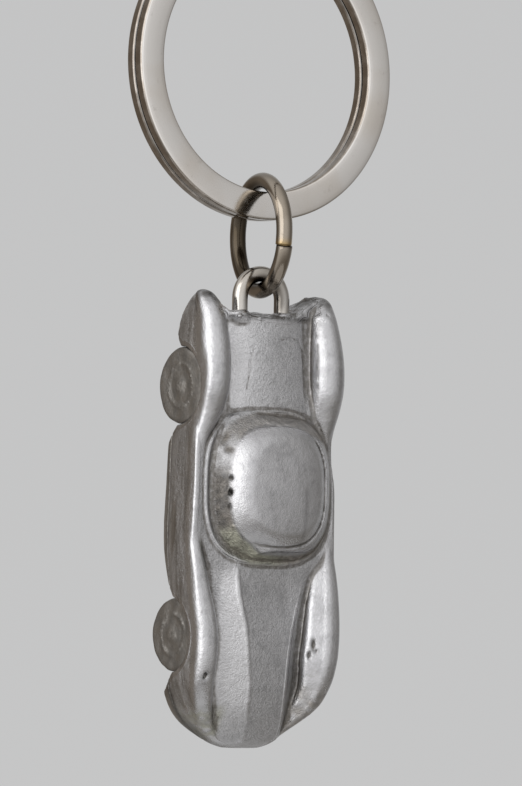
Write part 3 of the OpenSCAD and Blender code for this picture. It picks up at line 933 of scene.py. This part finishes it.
# ---------------------------------------------------------------- build
body_obj, floor_obj = build_car()
ring_obj = build_split_ring()
jump_obj = build_jump_ring()
eye_obj = build_eye()
wheels = []
for name, node, where, side, seed in (
        ("rear_wheel_left", "wheel_rear_left", REAR, 1, 11),
        ("rear_wheel_right", "wheel_rear_right", REAR, -1, 12),
        ("front_wheel_left", "wheel_front_left", FRONT, 1, 13),
        ("front_wheel_right", "wheel_front_right", FRONT, -1, 14)):
    obj = build_wheel(name, where, side, seed)
    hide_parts(node)
    wheels.append(obj)

# Metal, then its dirt and painted shade, then the roughness where it is worn smooth and elsewhere, and the
# grain's depth in metres.
dress(body_obj, cast_metal("cast_metal", (0.535, 0.532, 0.54), (0.12, 0.107, 0.09), 0.20, 0.34, 0.00017))
dress(floor_obj, cast_metal("cast_metal_dark", (0.42, 0.40, 0.38), (0.11, 0.098, 0.08), 0.3, 0.45, 0.00009))
wheel_mat = wheel_metal("wheel_metal", (0.295, 0.28, 0.26), (0.10, 0.09, 0.075))
for obj in wheels:
    dress(obj, wheel_mat)
dress(ring_obj, nickel("ring_nickel", (0.80, 0.775, 0.745), (0.72, 0.67, 0.61), 0.07, 0.15, 0.000002, 9.0,
                       edges=(RING_R - BAND_W, RING_R, TURN_GAP / 2)))
dress(jump_obj, nickel("link_nickel", (0.32, 0.28, 0.232), (0.12, 0.092, 0.06), 0.08, 0.16, 0.000006, 5.0,
                       cut=True, wire_r=JUMP_R))
dress(eye_obj, nickel("eye_nickel", (0.56, 0.54, 0.51), (0.40, 0.36, 0.31), 0.1, 0.2, 0.000006, 3.0,
                      wire_r=EYE_R))

# ---------------------------------------------------------------- camera, light, floor
# The view's direction, its distance in mm, how many pixels a millimetre takes, and the picture's height.
VIEW_AZ, VIEW_EL, VIEW_DIST, PIXELS_PER_MM, PICTURE_H = -35.2, -2.7, 470.0, 10.2, 786
SENSOR_H = 24.0
target = Vector((0, 0, -44.19)) * MM


def way(azimuth, elevation=0.0):
    """The direction from the object to that azimuth and elevation, in degrees, counted as a view's are."""
    a, e = math.radians(azimuth), math.radians(elevation)
    return Vector((math.sin(a) * math.cos(e), -math.cos(a) * math.cos(e), math.sin(e)))


back = way(VIEW_AZ, VIEW_EL)
cam_data = bpy.data.cameras.new("camera")
cam_data.sensor_fit = "VERTICAL"
cam_data.sensor_height = SENSOR_H
cam_data.lens = PIXELS_PER_MM * VIEW_DIST * SENSOR_H / PICTURE_H
cam_data.clip_start = 0.01
cam_data.clip_end = 20
cam = bpy.data.objects.new("camera", cam_data)
bpy.context.scene.collection.objects.link(cam)
cam.location = target + back * VIEW_DIST * MM
cam.rotation_euler = back.to_track_quat("Z", "Y").to_euler()
bpy.context.scene.camera = cam

# One soft box, on the left of the view and a little above it.
KEY_DIST = 0.9
key_data = bpy.data.lights.new("key", "AREA")
key_data.shape = "RECTANGLE"
key_data.size, key_data.size_y = 0.8, 1.0
key_data.energy = 3.4
key = bpy.data.objects.new("key", key_data)
bpy.context.scene.collection.objects.link(key)
key.location = target + way(-74, 18) * KEY_DIST
key.rotation_euler = way(-74, 18).to_track_quat("Z", "Y").to_euler()

world = bpy.data.worlds.new("studio")
bpy.context.scene.world = world
world.use_nodes = True
wt = world.node_tree
wt.nodes.clear()
coord = wt.nodes.new("ShaderNodeTexCoord")


def lobe(direction, full, none):
    """1 within the angle full of the direction, in degrees, falling to 0 at the angle none."""
    dot = wt.nodes.new("ShaderNodeVectorMath")
    dot.operation = "DOT_PRODUCT"
    dot.inputs[1].default_value = Vector(direction).normalized()
    wt.links.new(coord.outputs["Generated"], dot.inputs[0])
    r = wt.nodes.new("ShaderNodeMapRange")
    r.interpolation_type = "SMOOTHSTEP"
    r.inputs["From Min"].default_value = math.cos(math.radians(none))
    r.inputs["From Max"].default_value = math.cos(math.radians(full))
    wt.links.new(dot.outputs["Value"], r.inputs["Value"])
    return r.outputs["Result"]


def world_mix(fac, a, b):
    m = wt.nodes.new("ShaderNodeMix")
    m.data_type = "RGBA"
    wt.links.new(fac, m.inputs[0])
    for i, v in ((6, a), (7, b)):
        if isinstance(v, tuple):
            m.inputs[i].default_value = (*v, 1)
        else:
            wt.links.new(v, m.inputs[i])
    return m.outputs[2]


# What the metal mirrors: a dim warm room, lighter above, a broad soft light in front on the left, a paler
# wall behind, a dark floor and a dark corner. The camera sees the plain backdrop in every direction.
room = world_mix(lobe((0, 0, 1), 20, 75), (0.29, 0.28, 0.27), (0.40, 0.395, 0.385))
room = world_mix(lobe(way(-60, 15), 25, 130), room, (1.15, 1.15, 1.16))
room = world_mix(lobe(way(150, 0), 30, 70), room, (0.53, 0.53, 0.53))
room = world_mix(lobe((0, 0, -1), 20, 80), room, (0.24, 0.22, 0.19))
room = world_mix(lobe(way(-156, -4), 24, 50), room, (0.27, 0.235, 0.20))
plain = world_mix(lobe((0, 0, -1), 55, 125), (0.535, 0.537, 0.54), (0.585, 0.585, 0.585))
path = wt.nodes.new("ShaderNodeLightPath")
bg = wt.nodes.new("ShaderNodeBackground")
wt.links.new(world_mix(path.outputs["Is Camera Ray"], room, plain), bg.inputs["Color"])
wout = wt.nodes.new("ShaderNodeOutputWorld")
wt.links.new(bg.outputs[0], wout.inputs["Surface"])

floor_mat = Nodes("floor_pale")
tone = floor_mat.span(floor_mat.noise(30, 3.0), 0.3, 0.7)
tone = floor_mat.mix(tone, (0.72, 0.72, 0.72), (0.70, 0.70, 0.70))
fs = floor_mat.add("ShaderNodeBsdfPrincipled", i_Roughness=0.7)
floor_mat.link(tone, fs.inputs["Base Color"])
floor_mat.link(fs.outputs[0], floor_mat.add("ShaderNodeOutputMaterial").inputs["Surface"])
FLOOR_R, FLOOR_Z, FLOOR_SIDES = 0.28, -0.4, 96
floor_pts = [(x, y, FLOOR_Z) for x, y in round_profile(FLOOR_R, FLOOR_SIDES)]
floor_disc = make_object("studio_floor", floor_pts, [tuple(range(FLOOR_SIDES))], smooth=False)
floor_disc.data.materials.append(floor_mat.mat)

bpy.context.scene.view_settings.view_transform = "Standard"
bpy.context.view_layer.update()
